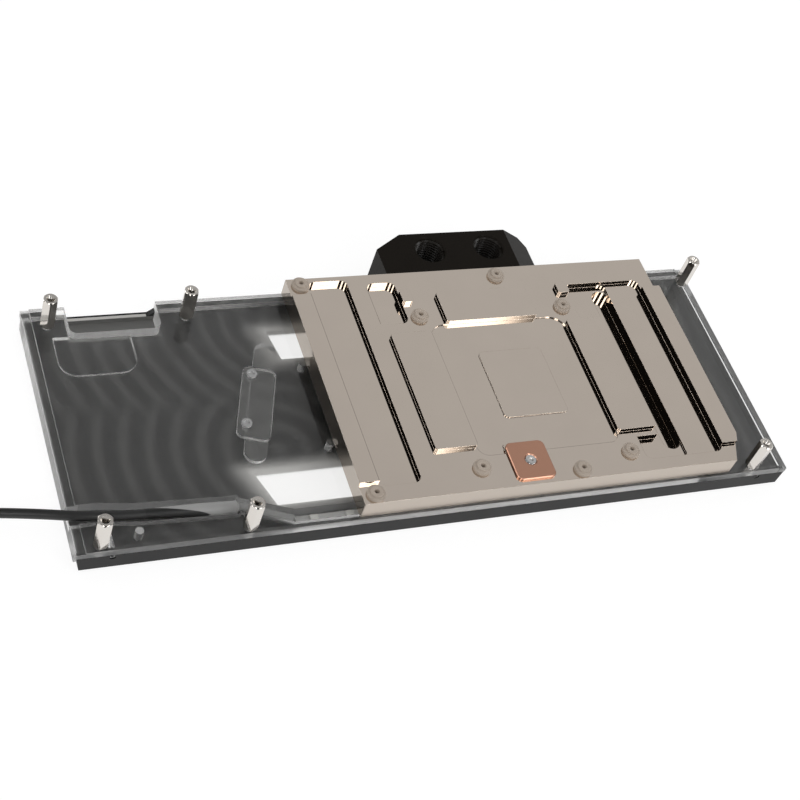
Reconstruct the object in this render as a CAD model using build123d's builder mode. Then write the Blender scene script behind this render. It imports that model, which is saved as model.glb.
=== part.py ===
from build123d import *
import os
from math import atan2, degrees, pi, radians, tan

os.makedirs("parts", exist_ok=True)

# All sizes are in millimetres.
# Places on the board are measured from its near left corner, heights from its front face up.

# Board: a clear acrylic body that sits in a black metal front cover
board_length = 293.0
board_width = 110.0
acrylic_thickness = 8.3
edge_band = 3.3
end_step_width = 3.3
end_step_depth = 0.8
stack_clearance = 0.1
overcut = 1.0

# Front cover
cover_floor = 3.2
cover_setback = 0.3
skirt_wall = 2.2
skirt_dip = 2.6
dip_slope = 3.0
front_bevel = 1.0
left_slope = 1.6
right_slope = 0.5

# Notch in the far edge for the power plugs
notch_left = 16.6
notch_right = 52.0
notch_near = board_width - 13.2
notch_corner = 3.0
dip_margin = 2.5
relief_pocket = (10.5, 40.2, notch_near - 17.3, notch_near + 1.5)
relief_depth = 1.8
relief_corner = 7.0

# Windows in the front cover
window_right = board_length - 61.0
far_window = (94.2, 96.8, board_width - 29.7, board_width - 14.8)
near_window = (71.3, 76.8, 13.4, 29.2)
window_slant = 9.0

# Nickel plated cold plate
plate_left = board_length - 189.1
plate_right = plate_left + 165.7
plate_near = 1.0
plate_far = board_width
plate_thickness = 8.2
shoulder_depth = 1.8
shoulder_far = plate_far - 16.0
corner_cut_x = 4.9
corner_cut_y = 12.2

# Relief on the top of the cold plate
pad_raise = 1.8
strip_raise = 1.6
pad_corner = 1.0
cutter_radius = 3.0
left_strip = (plate_left, plate_left + 8.0, 9.5, plate_far - 9.2)
right_strip_left = plate_left + 157.1
right_strip_near = 9.1
right_strip_gap = 1.0
memory_pad_left = (plate_left + 34.4, plate_left + 52.0, 20.4, plate_far - 32.6)
memory_pad_far = (plate_left + 60.8, plate_left + 101.6, plate_far - 28.5, plate_far - 12.8)
memory_pad_right = (plate_left + 113.7, plate_left + 131.1, 20.5, plate_far - 31.9)
small_pad_left = (plate_left + 45.3, plate_left + 49.9, plate_far - 16.8, plate_far - 10.4)
small_pad_right = (plate_left + 116.3, plate_left + 121.5, plate_far - 17.4, plate_far - 11.8)
pocket_depth = 2.4
long_pocket = (plate_left + 8.5, plate_left + 25.2, 8.0, plate_far - 2.1)
short_pocket = (plate_left + 32.9, plate_left + 45.3, plate_far - 26.5, plate_far - 4.7)
choke_field = (plate_left + 121.5, right_strip_left, 6.4, plate_far - 11.8)
choke_field_depth = 1.8
choke_step_right = plate_left + 141.5
choke_step_depth = 2.8
ledge_near = 17.6
trench_width = 8.0
trench_near = 11.6
trench_far = plate_far - 14.8
trench_depth = 6.6
core_field = (memory_pad_left[1], memory_pad_right[0], 16.3, memory_pad_far[2])
core_field_depth = 0.5
core_far_corner = 7.5
core_near_corner = 4.5
die_pad = (plate_left + 69.1, plate_left + 97.1, 33.0, 66.0)
die_pad_raise = 0.45
die_corner = 2.0

# Copper pad beside the core
copper_pad = (plate_left + 63.1, plate_left + 79.7, 3.0, 20.4)
copper_thickness = 1.1
copper_corner = 2.5
copper_edge = 0.35
pad_screw_head = 5.2
pad_screw_head_height = 1.3
pad_screw_length = 3.6

# Cooling fins, jet plate, flow channels and seal between plate and board
fin_area_x = 34.0
fin_area_y = 34.0
fin_depth = 3.0
fin_thickness = 0.7
fin_pitch = 1.4
fin_clearance = 0.15
jet_plate_margin = 3.0
jet_plate_thickness = 1.0
jet_slot_width = 2.4
jet_slot_inset = 1.0
channel_width = 12.0
channel_floor = 2.3
channel_corner = 2.0
collector_width = 6.0
collector_reach = 3.0
side_channel_x = plate_left + 106.1
seal_field = (plate_left + 56.6, plate_left + 113.6, 22.5, plate_far - 7.0)
seal_width = 2.2
seal_depth = 1.6
seal_corner = 6.0
seal_land = 2.0

# Port block with two G1/4 ports
port_block_left = plate_left + 43.9
port_block_right = plate_left + 117.8
port_block_depth = 21.2
port_block_bottom = 1.0
port_block_corner_x = 12.4
port_block_corner_y = 7.5
port_block_small_corner = 3.75
port_block_bevel_x = 12.6
port_block_bevel_z = 8.0
port_bore = 13.0
port_depth = 14.0
port_chamfer = 0.5
port_spacing = 27.2
first_port_x = plate_left + 67.5
port_from_board = 11.8
passage_height = 4.4
passage_overlap = 4.0
gasket_width = 1.6
gasket_depth = 1.2
block_screw_positions = (plate_left + 50.6, plate_left + 81.1, plate_left + 104.1)
block_screw_seat = 14.0
block_screw_bite = 6.0

# Screws
screw_diameter = 3.0
screw_clearance = 0.1
cap_head_diameter = 5.5
cap_head_height = 3.0
flat_head_diameter = 5.6
flat_head_height = 1.7
hex_key = 2.0
cover_screw_places = [(23.5, 7.2), (103.2, 36.0), (103.2, board_width - 35.5),
                      (board_length - 43.0, 36.0), (board_length - 43.0, board_width - 35.5),
                      (board_length - 38.0, 11.5)]
cover_screw_reach = 10.0
plate_screw_places = [(plate_left + 12.1, 16.0), (plate_left + 12.1, plate_far - 18.0),
                      (plate_left + 49.1, 26.0), (plate_left + 49.1, 64.0),
                      (plate_left + 49.1, plate_far - 10.0), (plate_left + 120.6, 26.0),
                      (plate_left + 120.6, 64.0), (plate_left + 120.6, plate_far - 7.0),
                      (plate_left + 160.6, 16.0), (plate_left + 160.6, plate_far - 18.0)]
plate_screw_bite = 3.8
side_screw_diameter = 2.0
side_screw_length = 6.0
side_screw_height = 6.8
side_screw_inset = 0.4
side_screw_socket = 1.2
side_screw_key = 1.0
side_screw_places = (13.0, board_length - 12.8)

# Hexagonal standoffs
standoff_height = 14.4
standoff_flats = 5.2
standoff_bore = 2.5
standoff_bore_depth = 8.0
standoff_stud_length = 3.1
standoff_turn = 15.0
standoff_chamfer = 0.35
standoff_near = 3.3
standoff_far = board_width - 7.8
standoff_places = [(8.8, standoff_near), (plate_left - 41.3, standoff_near),
                   (8.8, standoff_far), (plate_left - 41.3, standoff_far),
                   (board_length - 16.0, standoff_near), (board_length - 3.4, standoff_far)]

# Insulating washers round the threaded holes of the cold plate
washer_diameter = 7.2
washer_collar = 5.2
washer_base = 1.3
washer_height = 2.2
washer_bore = 1.8
washer_chamfer = 0.25
tapped_depth = 4.5
core_holes_x = (plate_left + 50.5, plate_left + 115.5)
core_holes_y = (10.8, plate_far - 23.9)
left_holes_x = plate_left + 5.3
left_holes_y = (4.8, plate_far - 3.7)
middle_holes_x = plate_left + 91.6
middle_holes_y = (5.1, plate_far - 4.9)

# Light bar let into the acrylic at a slant
bar_centre = (79.5, 57.0)
bar_lean = -19.3
bar_length = 34.0
bar_width = 12.8
bar_thickness = 2.6
bar_corner = 2.8
bar_clearance = 0.15
bar_slot_length = 58.0
bar_slot_width = 8.6
bar_slot_shift = (2.2, 1.8)
bar_slot_depth = 5.0
bar_screw_diameter = 2.5
bar_screw_head = 4.0
bar_screw_head_height = 1.4
bar_screw_length = 3.4
bar_screw_offsets = [(-3.0, bar_length / 2 - 3.0), (-3.0, 6.7 - bar_length / 2)]

# Light strip, its lead and the cable
strip_width = 4.2
strip_thickness = 0.6
strip_start = 81.0
strip_end = board_length - 43.0
strip_line = 4.8
lamp_size = 3.0
lamp_height = 1.1
lamp_count = 12
groove_width = 5.4
groove_start = (58.0, 13.9)
groove_end = strip_end + 2.0
cable_diameter = 3.7
channel_depth = 4.4
cable_channel_width = 7.9
cable_channel = ((-cable_channel_width, 16.2), (9.0, 16.2), (24.0, 14.2))
cable_depth = 1.9
sleeve_start = (27.0, 14.3)
sleeve_end = (61.0, 12.7)
sleeve_diameter = 4.9
sleeve_taper = 19.0
sleeve_nose = 1.0
lead_diameter = 3.0
lead_end = (80.0, 5.2)
lead_straight = 1.5
cable_bends = (((11.0, 15.05), 0.0), ((-13.0, 20.5), 0.5), ((-36.0, 27.0), 5.2))
cable_on_floor = ((-58.0, 31.0), (-76.0, 31.0))
arc_share = 0.45
coil_lift = 0.9
coil_diameter = 41.0
coil_turns_wide = 2
coil_turns_high = 2
coil_slack = 0.1
coil_corner = 0.9
stub_length = 14.0
tail_bend = (11.0, 0.0)
tail_end = (23.0, -2.6)
plug_length = 14.0
plug_width = 8.0
plug_height = 5.0
plug_chamfer = 0.5
plug_pole_pitch = 2.2
plug_socket = 1.2
tie_width = 3.0
tie_thickness = 0.8
tie_clearance = 0.15

# Heights
cover_top = cover_floor + acrylic_thickness - edge_band - stack_clearance
board_top = cover_floor + acrylic_thickness
plate_top = board_top + plate_thickness
board_left = -board_length / 2
board_near = -(board_width + port_block_depth) / 2
washer_places = ([(x, y) for x in core_holes_x for y in core_holes_y]
                 + [(left_holes_x, y) for y in left_holes_y] + [(middle_holes_x, y) for y in middle_holes_y])
die_centre = ((die_pad[0] + die_pad[1]) / 2, (die_pad[2] + die_pad[3]) / 2)
trench_centre_x = choke_step_right - trench_width / 2
port_centres = [(first_port_x + n * port_spacing, board_width + port_from_board) for n in range(2)]
port_block_top = plate_top
passage_height_centre = cover_floor + channel_floor + passage_height / 2


def level(height):
    # A horizontal working plane whose origin is over the near left corner of the board
    return Plane(origin=(board_left, board_near, height))


def point(place, height=0.0):
    # A place on the board as a point of the part's own frame
    return Vector(board_left + place[0], board_near + place[1], height)


def area(edges, corner=0.0, grow=0.0, mode=Mode.ADD):
    # A rectangle between its left, right, near and far edges
    left, right, near, far = edges
    with Locations(((left + right) / 2, (near + far) / 2)):
        if corner:
            RectangleRounded(right - left + 2 * grow, far - near + 2 * grow, corner, mode=mode)
        else:
            Rectangle(right - left + 2 * grow, far - near + 2 * grow, mode=mode)


def finish(builder, name):
    builder.part.label = name
    export_step(builder.part, "parts/" + name + ".step")


# Front cover: a shallow tray with slanted ends, open along both ends
with BuildPart() as front_cover:
    with BuildSketch(Plane.XZ.offset(-board_near)):
        with BuildLine():
            Polyline((board_left + left_slope + cover_setback, 0),
                     (-board_left - right_slope - cover_setback, 0),
                     (-board_left - cover_setback, cover_top),
                     (board_left + cover_setback, cover_top), close=True)
        make_face()
    extrude(amount=-board_width)
    bottom = front_cover.faces().sort_by(Axis.Z)[0]
    chamfer(bottom.edges().filter_by(Axis.X), front_bevel)
    # The space between the two skirts
    with BuildSketch(level(cover_floor)):
        area((-overcut, board_length + overcut, skirt_wall, board_width - skirt_wall))
    extrude(amount=board_width, mode=Mode.SUBTRACT)
    # The far skirt stops at the port block and dips at the power plugs
    with BuildSketch(level(cover_floor)):
        area((port_block_left - stack_clearance, port_block_right + stack_clearance,
              board_width - skirt_wall - overcut, board_width + overcut))
    extrude(amount=board_width, mode=Mode.SUBTRACT)
    with BuildSketch(Plane.XZ.offset(-board_near - board_width - overcut)):
        with BuildLine():
            Polyline((board_left + notch_left - dip_margin, cover_top - skirt_dip),
                     (board_left + notch_right - dip_margin, cover_top - skirt_dip),
                     (board_left + notch_right - dip_margin + 2 * dip_slope, cover_top + skirt_dip),
                     (board_left + notch_left - dip_margin - 2 * dip_slope, cover_top + skirt_dip),
                     close=True)
        make_face()
    extrude(amount=skirt_wall + 2 * overcut, mode=Mode.SUBTRACT)
    # Two long windows with slanted ends
    with BuildSketch(level(-overcut)):
        for x0, x1, near, far in (far_window, near_window):
            with BuildLine():
                Polyline((x1, near), (x0, far), (window_right, far), (window_right - window_slant, near),
                         close=True)
            make_face()
    extrude(amount=cover_floor + 2 * overcut, mode=Mode.SUBTRACT)
    # Countersunk holes for the cover screws, from the front
    with BuildSketch(level(0)):
        with Locations(*cover_screw_places):
            Circle(screw_diameter / 2 + screw_clearance)
    extrude(amount=cover_floor, mode=Mode.SUBTRACT)
    with BuildSketch(level(0)):
        with Locations(*cover_screw_places):
            Circle(flat_head_diameter / 2 + screw_clearance)
    extrude(amount=flat_head_height, taper=degrees(
        atan2((flat_head_diameter - screw_diameter) / 2, flat_head_height)), mode=Mode.SUBTRACT)
    # Holes for the side screws
    with BuildSketch(Plane(origin=(board_left, board_near, 0), z_dir=(0, -1, 0), x_dir=(1, 0, 0))):
        with Locations(*[(x, side_screw_height) for x in side_screw_places]):
            Circle(side_screw_diameter / 2 + screw_clearance)
    extrude(amount=-skirt_wall, mode=Mode.SUBTRACT)
finish(front_cover, "front_cover")

# Acrylic body: a lower part between the skirts and an upper band over them
with BuildPart() as acrylic_body:
    with BuildSketch(level(cover_floor + stack_clearance)):
        area((0, board_length, skirt_wall + stack_clearance, board_width - skirt_wall - stack_clearance))
        area((port_block_left + stack_clearance, port_block_right - stack_clearance,
              board_width / 2, board_width))
    extrude(amount=acrylic_thickness - stack_clearance)
    with BuildSketch(level(board_top - edge_band)):
        area((0, board_length, 0, board_width))
    extrude(amount=edge_band)
    # Low steps along both ends
    with BuildSketch(level(board_top)):
        area((0, end_step_width, 0, board_width))
        area((board_length - end_step_width, board_length, 0, board_width))
    extrude(amount=-end_step_depth, mode=Mode.SUBTRACT)
    # Notch for the power plugs
    with BuildSketch(level(board_top)):
        area((notch_left, notch_right, notch_near, board_width + 2 * notch_corner), notch_corner)
    extrude(amount=-acrylic_thickness, mode=Mode.SUBTRACT)
    # Shallow relief beside the notch, from below
    with BuildSketch(level(cover_floor)) as relief_outline:
        area(relief_pocket)
        fillet(relief_outline.vertices().group_by(Axis.Y)[0], relief_corner)
    extrude(amount=relief_depth, mode=Mode.SUBTRACT)
    # Cable channel from the left end and the groove of the light strip
    with BuildSketch(level(board_top)):
        with BuildLine():
            Polyline(*cable_channel, sleeve_end)
        trace(line_width=cable_channel_width)
        with BuildLine():
            Polyline(groove_start, lead_end, (groove_end, strip_line))
        trace(line_width=groove_width)
    extrude(amount=-channel_depth, mode=Mode.SUBTRACT)
    # Seat and slot of the light bar
    with BuildSketch(level(board_top)):
        with Locations(Location(bar_centre + (0,), (0, 0, bar_lean))):
            RectangleRounded(bar_width + 2 * bar_clearance, bar_length + 2 * bar_clearance, bar_corner)
    extrude(amount=-bar_thickness, mode=Mode.SUBTRACT)
    with BuildSketch(level(board_top - bar_thickness)):
        with Locations(Location((bar_centre[0] + bar_slot_shift[0], bar_centre[1] + bar_slot_shift[1], 0),
                                (0, 0, bar_lean + 90))):
            SlotOverall(bar_slot_length, bar_slot_width)
    extrude(amount=bar_thickness - bar_slot_depth, mode=Mode.SUBTRACT)
    # Holes: standoff studs, bar screws, cover screws
    with BuildSketch(level(board_top)):
        with Locations(*standoff_places):
            Circle(screw_diameter / 2 + screw_clearance)
    extrude(amount=-standoff_stud_length - screw_clearance, mode=Mode.SUBTRACT)
    with BuildSketch(level(board_top - bar_thickness)):
        with Locations(Location(bar_centre + (0,), (0, 0, bar_lean))):
            with Locations(*bar_screw_offsets):
                Circle(bar_screw_diameter / 2 + screw_clearance)
    extrude(amount=-bar_screw_length, mode=Mode.SUBTRACT)
    with BuildSketch(level(cover_floor)):
        with Locations(*cover_screw_places):
            Circle(screw_diameter / 2 + screw_clearance)
    extrude(amount=cover_screw_reach - cover_floor + screw_clearance, mode=Mode.SUBTRACT)
    # Counterbored holes for the plate screws
    with BuildSketch(level(cover_floor)):
        with Locations(*plate_screw_places):
            Circle(screw_diameter / 2 + screw_clearance)
    extrude(amount=acrylic_thickness, mode=Mode.SUBTRACT)
    with BuildSketch(level(cover_floor)):
        with Locations(*plate_screw_places):
            Circle(cap_head_diameter / 2 + screw_clearance)
    extrude(amount=cap_head_height + screw_clearance, mode=Mode.SUBTRACT)
    # Holes for the side screws
    with BuildSketch(Plane(origin=(board_left, board_near + skirt_wall, 0),
                           z_dir=(0, -1, 0), x_dir=(1, 0, 0))):
        with Locations(*[(x, side_screw_height) for x in side_screw_places]):
            Circle(side_screw_diameter / 2 + screw_clearance)
    extrude(amount=-side_screw_length, mode=Mode.SUBTRACT)
    # Seat of the jet plate
    with BuildSketch(level(board_top)):
        with Locations(die_centre):
            Rectangle(fin_area_x + 2 * jet_plate_margin + 2 * stack_clearance,
                      fin_area_y + 2 * jet_plate_margin + 2 * stack_clearance)
    extrude(amount=-jet_plate_thickness, mode=Mode.SUBTRACT)
    # Inlet channel to the jet slot, outlet channels round the fins
    with BuildSketch(level(board_top)):
        area((first_port_x - channel_width / 2, first_port_x + channel_width / 2,
              die_centre[1], seal_field[3] - seal_width - seal_land), channel_corner)
        with Locations(die_centre):
            Rectangle(fin_area_x, 2 * jet_slot_width)
        area((first_port_x + port_spacing - channel_width / 2,
              first_port_x + port_spacing + channel_width / 2,
              die_centre[1] + fin_area_y / 2, seal_field[3] - seal_width - seal_land), channel_corner)
        area((die_centre[0], side_channel_x + collector_width / 2,
              die_centre[1] + fin_area_y / 2 - collector_width,
              die_centre[1] + fin_area_y / 2 + collector_reach))
        area((die_centre[0] - fin_area_x / 2, side_channel_x + collector_width / 2,
              die_centre[1] - fin_area_y / 2 - collector_reach,
              die_centre[1] - fin_area_y / 2 + collector_width))
        area((side_channel_x - collector_width / 2, side_channel_x + collector_width / 2,
              die_centre[1] - fin_area_y / 2, die_centre[1] + fin_area_y / 2))
    extrude(amount=channel_floor - acrylic_thickness, mode=Mode.SUBTRACT)
    # Groove of the main seal
    with BuildSketch(level(board_top)):
        area(seal_field, seal_corner)
        area(seal_field, seal_corner - seal_width, grow=-seal_width, mode=Mode.SUBTRACT)
    extrude(amount=-seal_depth, mode=Mode.SUBTRACT)
    # Passages through the far edge to the ports
    with BuildSketch(Plane(origin=(board_left, board_near + board_width, passage_height_centre),
                           z_dir=(0, 1, 0), x_dir=(1, 0, 0))):
        with Locations(*[(x, 0) for x, y in port_centres]):
            SlotOverall(channel_width, passage_height)
    extrude(amount=seal_field[3] - seal_width - passage_overlap - board_width, mode=Mode.SUBTRACT)
finish(acrylic_body, "acrylic_body")

# Cold plate: outline first, then recesses, raised pads, holes and the fins underneath
with BuildPart() as cold_plate:
    with BuildSketch(level(board_top + stack_clearance)):
        with BuildLine():
            Polyline((plate_left, plate_near), (plate_right - corner_cut_x, plate_near),
                     (plate_right, plate_near + corner_cut_y), (plate_right, shoulder_far),
                     (plate_right - shoulder_depth, shoulder_far), (plate_right - shoulder_depth, plate_far),
                     (plate_left, plate_far), close=True)
        make_face()
    extrude(amount=plate_thickness - stack_clearance)
    # Two pockets on the left
    with BuildSketch(level(plate_top)):
        area(long_pocket, cutter_radius)
        area(short_pocket, cutter_radius)
    extrude(amount=-pocket_depth, mode=Mode.SUBTRACT)
    # Recess on the right in two steps, round the raised pad and its ledge
    pad_and_ledge = (memory_pad_right[0], memory_pad_right[1], ledge_near, memory_pad_right[3])
    with BuildSketch(level(plate_top)):
        area(choke_field, cutter_radius)
        area(pad_and_ledge, mode=Mode.SUBTRACT)
    extrude(amount=-choke_field_depth, mode=Mode.SUBTRACT)
    with BuildSketch(level(plate_top)):
        area((choke_field[0], choke_step_right, choke_field[2], choke_field[3]), cutter_radius)
        area(pad_and_ledge, mode=Mode.SUBTRACT)
    extrude(amount=-choke_step_depth, mode=Mode.SUBTRACT)
    # Deep trench with round ends
    with BuildSketch(level(plate_top)):
        with Locations(Location((trench_centre_x, (trench_near + trench_far) / 2, 0), (0, 0, 90))):
            SlotOverall(trench_far - trench_near, trench_width)
    extrude(amount=-trench_depth, mode=Mode.SUBTRACT)
    # Shallow field round the core, left standing under the copper pad
    with BuildSketch(level(plate_top)) as core_outline:
        area(core_field)
        fillet(core_outline.vertices().group_by(Axis.Y)[-1], core_far_corner)
        fillet(core_outline.vertices().group_by(Axis.Y)[0], core_near_corner)
        area(copper_pad, mode=Mode.SUBTRACT)
    extrude(amount=-core_field_depth, mode=Mode.SUBTRACT)
    with BuildSketch(level(plate_top - core_field_depth)):
        area(die_pad, die_corner)
    extrude(amount=die_pad_raise)
    # Raised pads for the memory and the smaller parts
    with BuildSketch(level(plate_top - core_field_depth)):
        for pad in (memory_pad_left, memory_pad_far, memory_pad_right):
            area(pad, pad_corner)
    extrude(amount=core_field_depth + pad_raise)
    with BuildSketch(level(plate_top)):
        for pad in (small_pad_left, small_pad_right):
            area(pad, pad_corner)
    extrude(amount=pad_raise)
    # Raised strips along both ends
    with BuildSketch(level(plate_top)):
        area(left_strip)
        with BuildLine():
            Polyline((right_strip_left, right_strip_near),
                     (plate_right - corner_cut_x * (plate_near + corner_cut_y - right_strip_near) / corner_cut_y,
                      right_strip_near),
                     (plate_right, plate_near + corner_cut_y), (plate_right, shoulder_far - right_strip_gap),
                     (right_strip_left, shoulder_far - right_strip_gap), close=True)
        make_face()
    extrude(amount=strip_raise)
    # Tapped holes under the washers and for the copper pad
    with BuildSketch(level(plate_top)):
        with Locations(*washer_places):
            Circle(washer_bore / 2)
    extrude(amount=-tapped_depth, mode=Mode.SUBTRACT)
    with BuildSketch(level(plate_top)):
        with Locations(((copper_pad[0] + copper_pad[1]) / 2, (copper_pad[2] + copper_pad[3]) / 2)):
            Circle(bar_screw_diameter / 2 + screw_clearance)
    extrude(amount=-pad_screw_length, mode=Mode.SUBTRACT)
    # Holes from below for the plate screws, from the far edge for the port block screws
    with BuildSketch(level(board_top)):
        with Locations(*plate_screw_places):
            Circle(screw_diameter / 2 + screw_clearance)
    extrude(amount=plate_screw_bite + screw_clearance, mode=Mode.SUBTRACT)
    with BuildSketch(Plane(origin=(board_left, board_near + plate_far, board_top + plate_thickness / 2),
                           z_dir=(0, 1, 0), x_dir=(1, 0, 0))):
        with Locations(*[(x, 0) for x in block_screw_positions]):
            Circle(screw_diameter / 2 + screw_clearance)
    extrude(amount=-block_screw_bite, mode=Mode.SUBTRACT)
    # Fins over the core
    with BuildSketch(level(board_top)):
        with Locations(die_centre):
            Rectangle(fin_area_x, fin_area_y)
    extrude(amount=fin_depth, mode=Mode.SUBTRACT)
    with BuildSketch(level(board_top + fin_clearance)):
        with Locations(die_centre):
            with GridLocations(fin_pitch, 0, int(fin_area_x / fin_pitch) - 1, 1):
                Rectangle(fin_thickness, fin_area_y)
    extrude(amount=fin_depth - fin_clearance)
finish(cold_plate, "cold_plate")

# Jet plate with one slot across the fins
with BuildPart() as jet_plate:
    with BuildSketch(level(board_top + stack_clearance - jet_plate_thickness)):
        with Locations(die_centre):
            Rectangle(fin_area_x + 2 * jet_plate_margin, fin_area_y + 2 * jet_plate_margin)
            SlotOverall(fin_area_x - 2 * jet_slot_inset, jet_slot_width, mode=Mode.SUBTRACT)
            with GridLocations(0, fin_area_y, 1, 2):
                Rectangle(fin_area_x - 2 * jet_slot_inset, 2 * jet_slot_width, mode=Mode.SUBTRACT)
    extrude(amount=jet_plate_thickness)
finish(jet_plate, "jet_plate")

# Main seal between plate and acrylic
with BuildPart() as main_seal:
    with BuildSketch(level(board_top + stack_clearance - seal_depth)):
        area(seal_field, seal_corner - stack_clearance, grow=-stack_clearance)
        area(seal_field, seal_corner - seal_width + stack_clearance, grow=stack_clearance - seal_width,
             mode=Mode.SUBTRACT)
    extrude(amount=seal_depth)
finish(main_seal, "main_seal")

# Port block: bevelled on the right, with its far left corner cut off
with BuildPart() as port_block:
    with BuildSketch(Plane.XZ.offset(-board_near - board_width - stack_clearance)):
        left = board_left + port_block_left
        right = board_left + port_block_right
        with BuildLine():
            Polyline((left, port_block_bottom), (right, port_block_bottom),
                     (right, port_block_top - port_block_bevel_z),
                     (right - port_block_bevel_x, port_block_top), (left, port_block_top), close=True)
        make_face()
    extrude(amount=stack_clearance - port_block_depth)
    with BuildSketch(level(0)):
        far = board_width + port_block_depth
        with BuildLine():
            Polyline((port_block_left, far - port_block_corner_y),
                     (port_block_left + port_block_corner_x, far), (port_block_left, far), close=True)
        make_face()
        with BuildLine():
            Polyline((port_block_right, far - port_block_small_corner), (port_block_right, far),
                     (port_block_right - port_block_small_corner, far), close=True)
        make_face()
    extrude(amount=board_top + plate_thickness, mode=Mode.SUBTRACT)
    # Ports from above with a small chamfer
    with BuildSketch(level(port_block_top)):
        with Locations(*port_centres):
            Circle(port_bore / 2)
    extrude(amount=-port_depth, mode=Mode.SUBTRACT)
    mouths = port_block.edges().filter_by(GeomType.CIRCLE).group_by(Axis.Z)[-1]
    chamfer(mouths, port_chamfer)
    # Passages and gasket grooves towards the acrylic
    with BuildSketch(Plane(origin=(board_left, board_near + board_width, passage_height_centre),
                           z_dir=(0, -1, 0), x_dir=(1, 0, 0))):
        with Locations(*[(x, 0) for x, y in port_centres]):
            SlotOverall(channel_width, passage_height)
    extrude(amount=-port_from_board, mode=Mode.SUBTRACT)
    with BuildSketch(Plane(origin=(board_left, board_near + board_width, passage_height_centre),
                           z_dir=(0, -1, 0), x_dir=(1, 0, 0))):
        with Locations(*[(x, 0) for x, y in port_centres]):
            SlotOverall(channel_width + 2 * gasket_width, passage_height + 2 * gasket_width)
    extrude(amount=-gasket_depth, mode=Mode.SUBTRACT)
    # Counterbored holes for the three screws
    with BuildSketch(Plane(origin=(board_left, board_near + board_width, board_top + plate_thickness / 2),
                           z_dir=(0, -1, 0), x_dir=(1, 0, 0))):
        with Locations(*[(x, 0) for x in block_screw_positions]):
            Circle(screw_diameter / 2 + screw_clearance)
    extrude(amount=-port_block_depth, mode=Mode.SUBTRACT)
    with BuildSketch(Plane(origin=(board_left, board_near + board_width + block_screw_seat,
                                   board_top + plate_thickness / 2), z_dir=(0, -1, 0), x_dir=(1, 0, 0))):
        with Locations(*[(x, 0) for x in block_screw_positions]):
            Circle(cap_head_diameter / 2 + screw_clearance)
    extrude(amount=-port_block_depth, mode=Mode.SUBTRACT)
finish(port_block, "port_block")

# Two long gaskets between port block and acrylic
with BuildPart() as port_gaskets:
    with BuildSketch(Plane(origin=(board_left, board_near + board_width, passage_height_centre),
                           z_dir=(0, -1, 0), x_dir=(1, 0, 0))):
        with Locations(*[(x, 0) for x, y in port_centres]):
            SlotOverall(channel_width + 2 * gasket_width - 2 * stack_clearance,
                        passage_height + 2 * gasket_width - 2 * stack_clearance)
            SlotOverall(channel_width, passage_height, mode=Mode.SUBTRACT)
    extrude(amount=-gasket_depth)
finish(port_gaskets, "port_gaskets")

# Socket head screws of the port block
with BuildPart() as port_block_screws:
    seat = Plane(origin=(board_left, board_near + board_width + block_screw_seat,
                         board_top + plate_thickness / 2), z_dir=(0, 1, 0), x_dir=(1, 0, 0))
    with BuildSketch(seat):
        with Locations(*[(x, 0) for x in block_screw_positions]):
            Circle(cap_head_diameter / 2)
    extrude(amount=cap_head_height)
    with BuildSketch(seat):
        with Locations(*[(x, 0) for x in block_screw_positions]):
            Circle(screw_diameter / 2)
    extrude(amount=screw_clearance - block_screw_seat - block_screw_bite)
    with BuildSketch(seat.offset(cap_head_height)):
        with Locations(*[(x, 0) for x in block_screw_positions]):
            RegularPolygon(hex_key / 2, 6, major_radius=False)
    extrude(amount=-cap_head_height / 2, mode=Mode.SUBTRACT)
finish(port_block_screws, "port_block_screws")

# Screws from the front that hold the cold plate to the acrylic
with BuildPart() as plate_screws:
    with BuildSketch(level(cover_floor + screw_clearance)):
        with Locations(*plate_screw_places):
            Circle(cap_head_diameter / 2)
    extrude(amount=cap_head_height)
    with BuildSketch(level(cover_floor + screw_clearance + cap_head_height)):
        with Locations(*plate_screw_places):
            Circle(screw_diameter / 2)
    extrude(amount=acrylic_thickness - screw_clearance - cap_head_height + plate_screw_bite)
    with BuildSketch(level(cover_floor + screw_clearance)):
        with Locations(*plate_screw_places):
            RegularPolygon(hex_key / 2, 6, major_radius=False)
    extrude(amount=cap_head_height / 2, mode=Mode.SUBTRACT)
finish(plate_screws, "plate_screws")

# Countersunk screws of the front cover
with BuildPart() as cover_screws:
    with BuildSketch(level(0)):
        with Locations(*cover_screw_places):
            Circle(flat_head_diameter / 2)
    extrude(amount=flat_head_height, taper=degrees(
        atan2((flat_head_diameter - screw_diameter) / 2, flat_head_height)))
    with BuildSketch(level(flat_head_height)):
        with Locations(*cover_screw_places):
            Circle(screw_diameter / 2)
    extrude(amount=cover_screw_reach - flat_head_height)
    with BuildSketch(level(0)):
        with Locations(*cover_screw_places):
            RegularPolygon(hex_key / 2, 6, major_radius=False)
    extrude(amount=flat_head_height / 2, mode=Mode.SUBTRACT)
finish(cover_screws, "cover_screws")

# Grub screws in the near side of the cover
with BuildPart() as side_screws:
    near_side = Plane(origin=(board_left, board_near, 0), z_dir=(0, -1, 0), x_dir=(1, 0, 0))
    with BuildSketch(near_side.offset(-side_screw_inset)):
        with Locations(*[(x, side_screw_height) for x in side_screw_places]):
            Circle(side_screw_diameter / 2)
    extrude(amount=-side_screw_length)
    with BuildSketch(near_side.offset(-side_screw_inset)):
        with Locations(*[(x, side_screw_height) for x in side_screw_places]):
            RegularPolygon(side_screw_key / 2, 6, major_radius=False)
    extrude(amount=-side_screw_socket, mode=Mode.SUBTRACT)
finish(side_screws, "side_screws")

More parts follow.
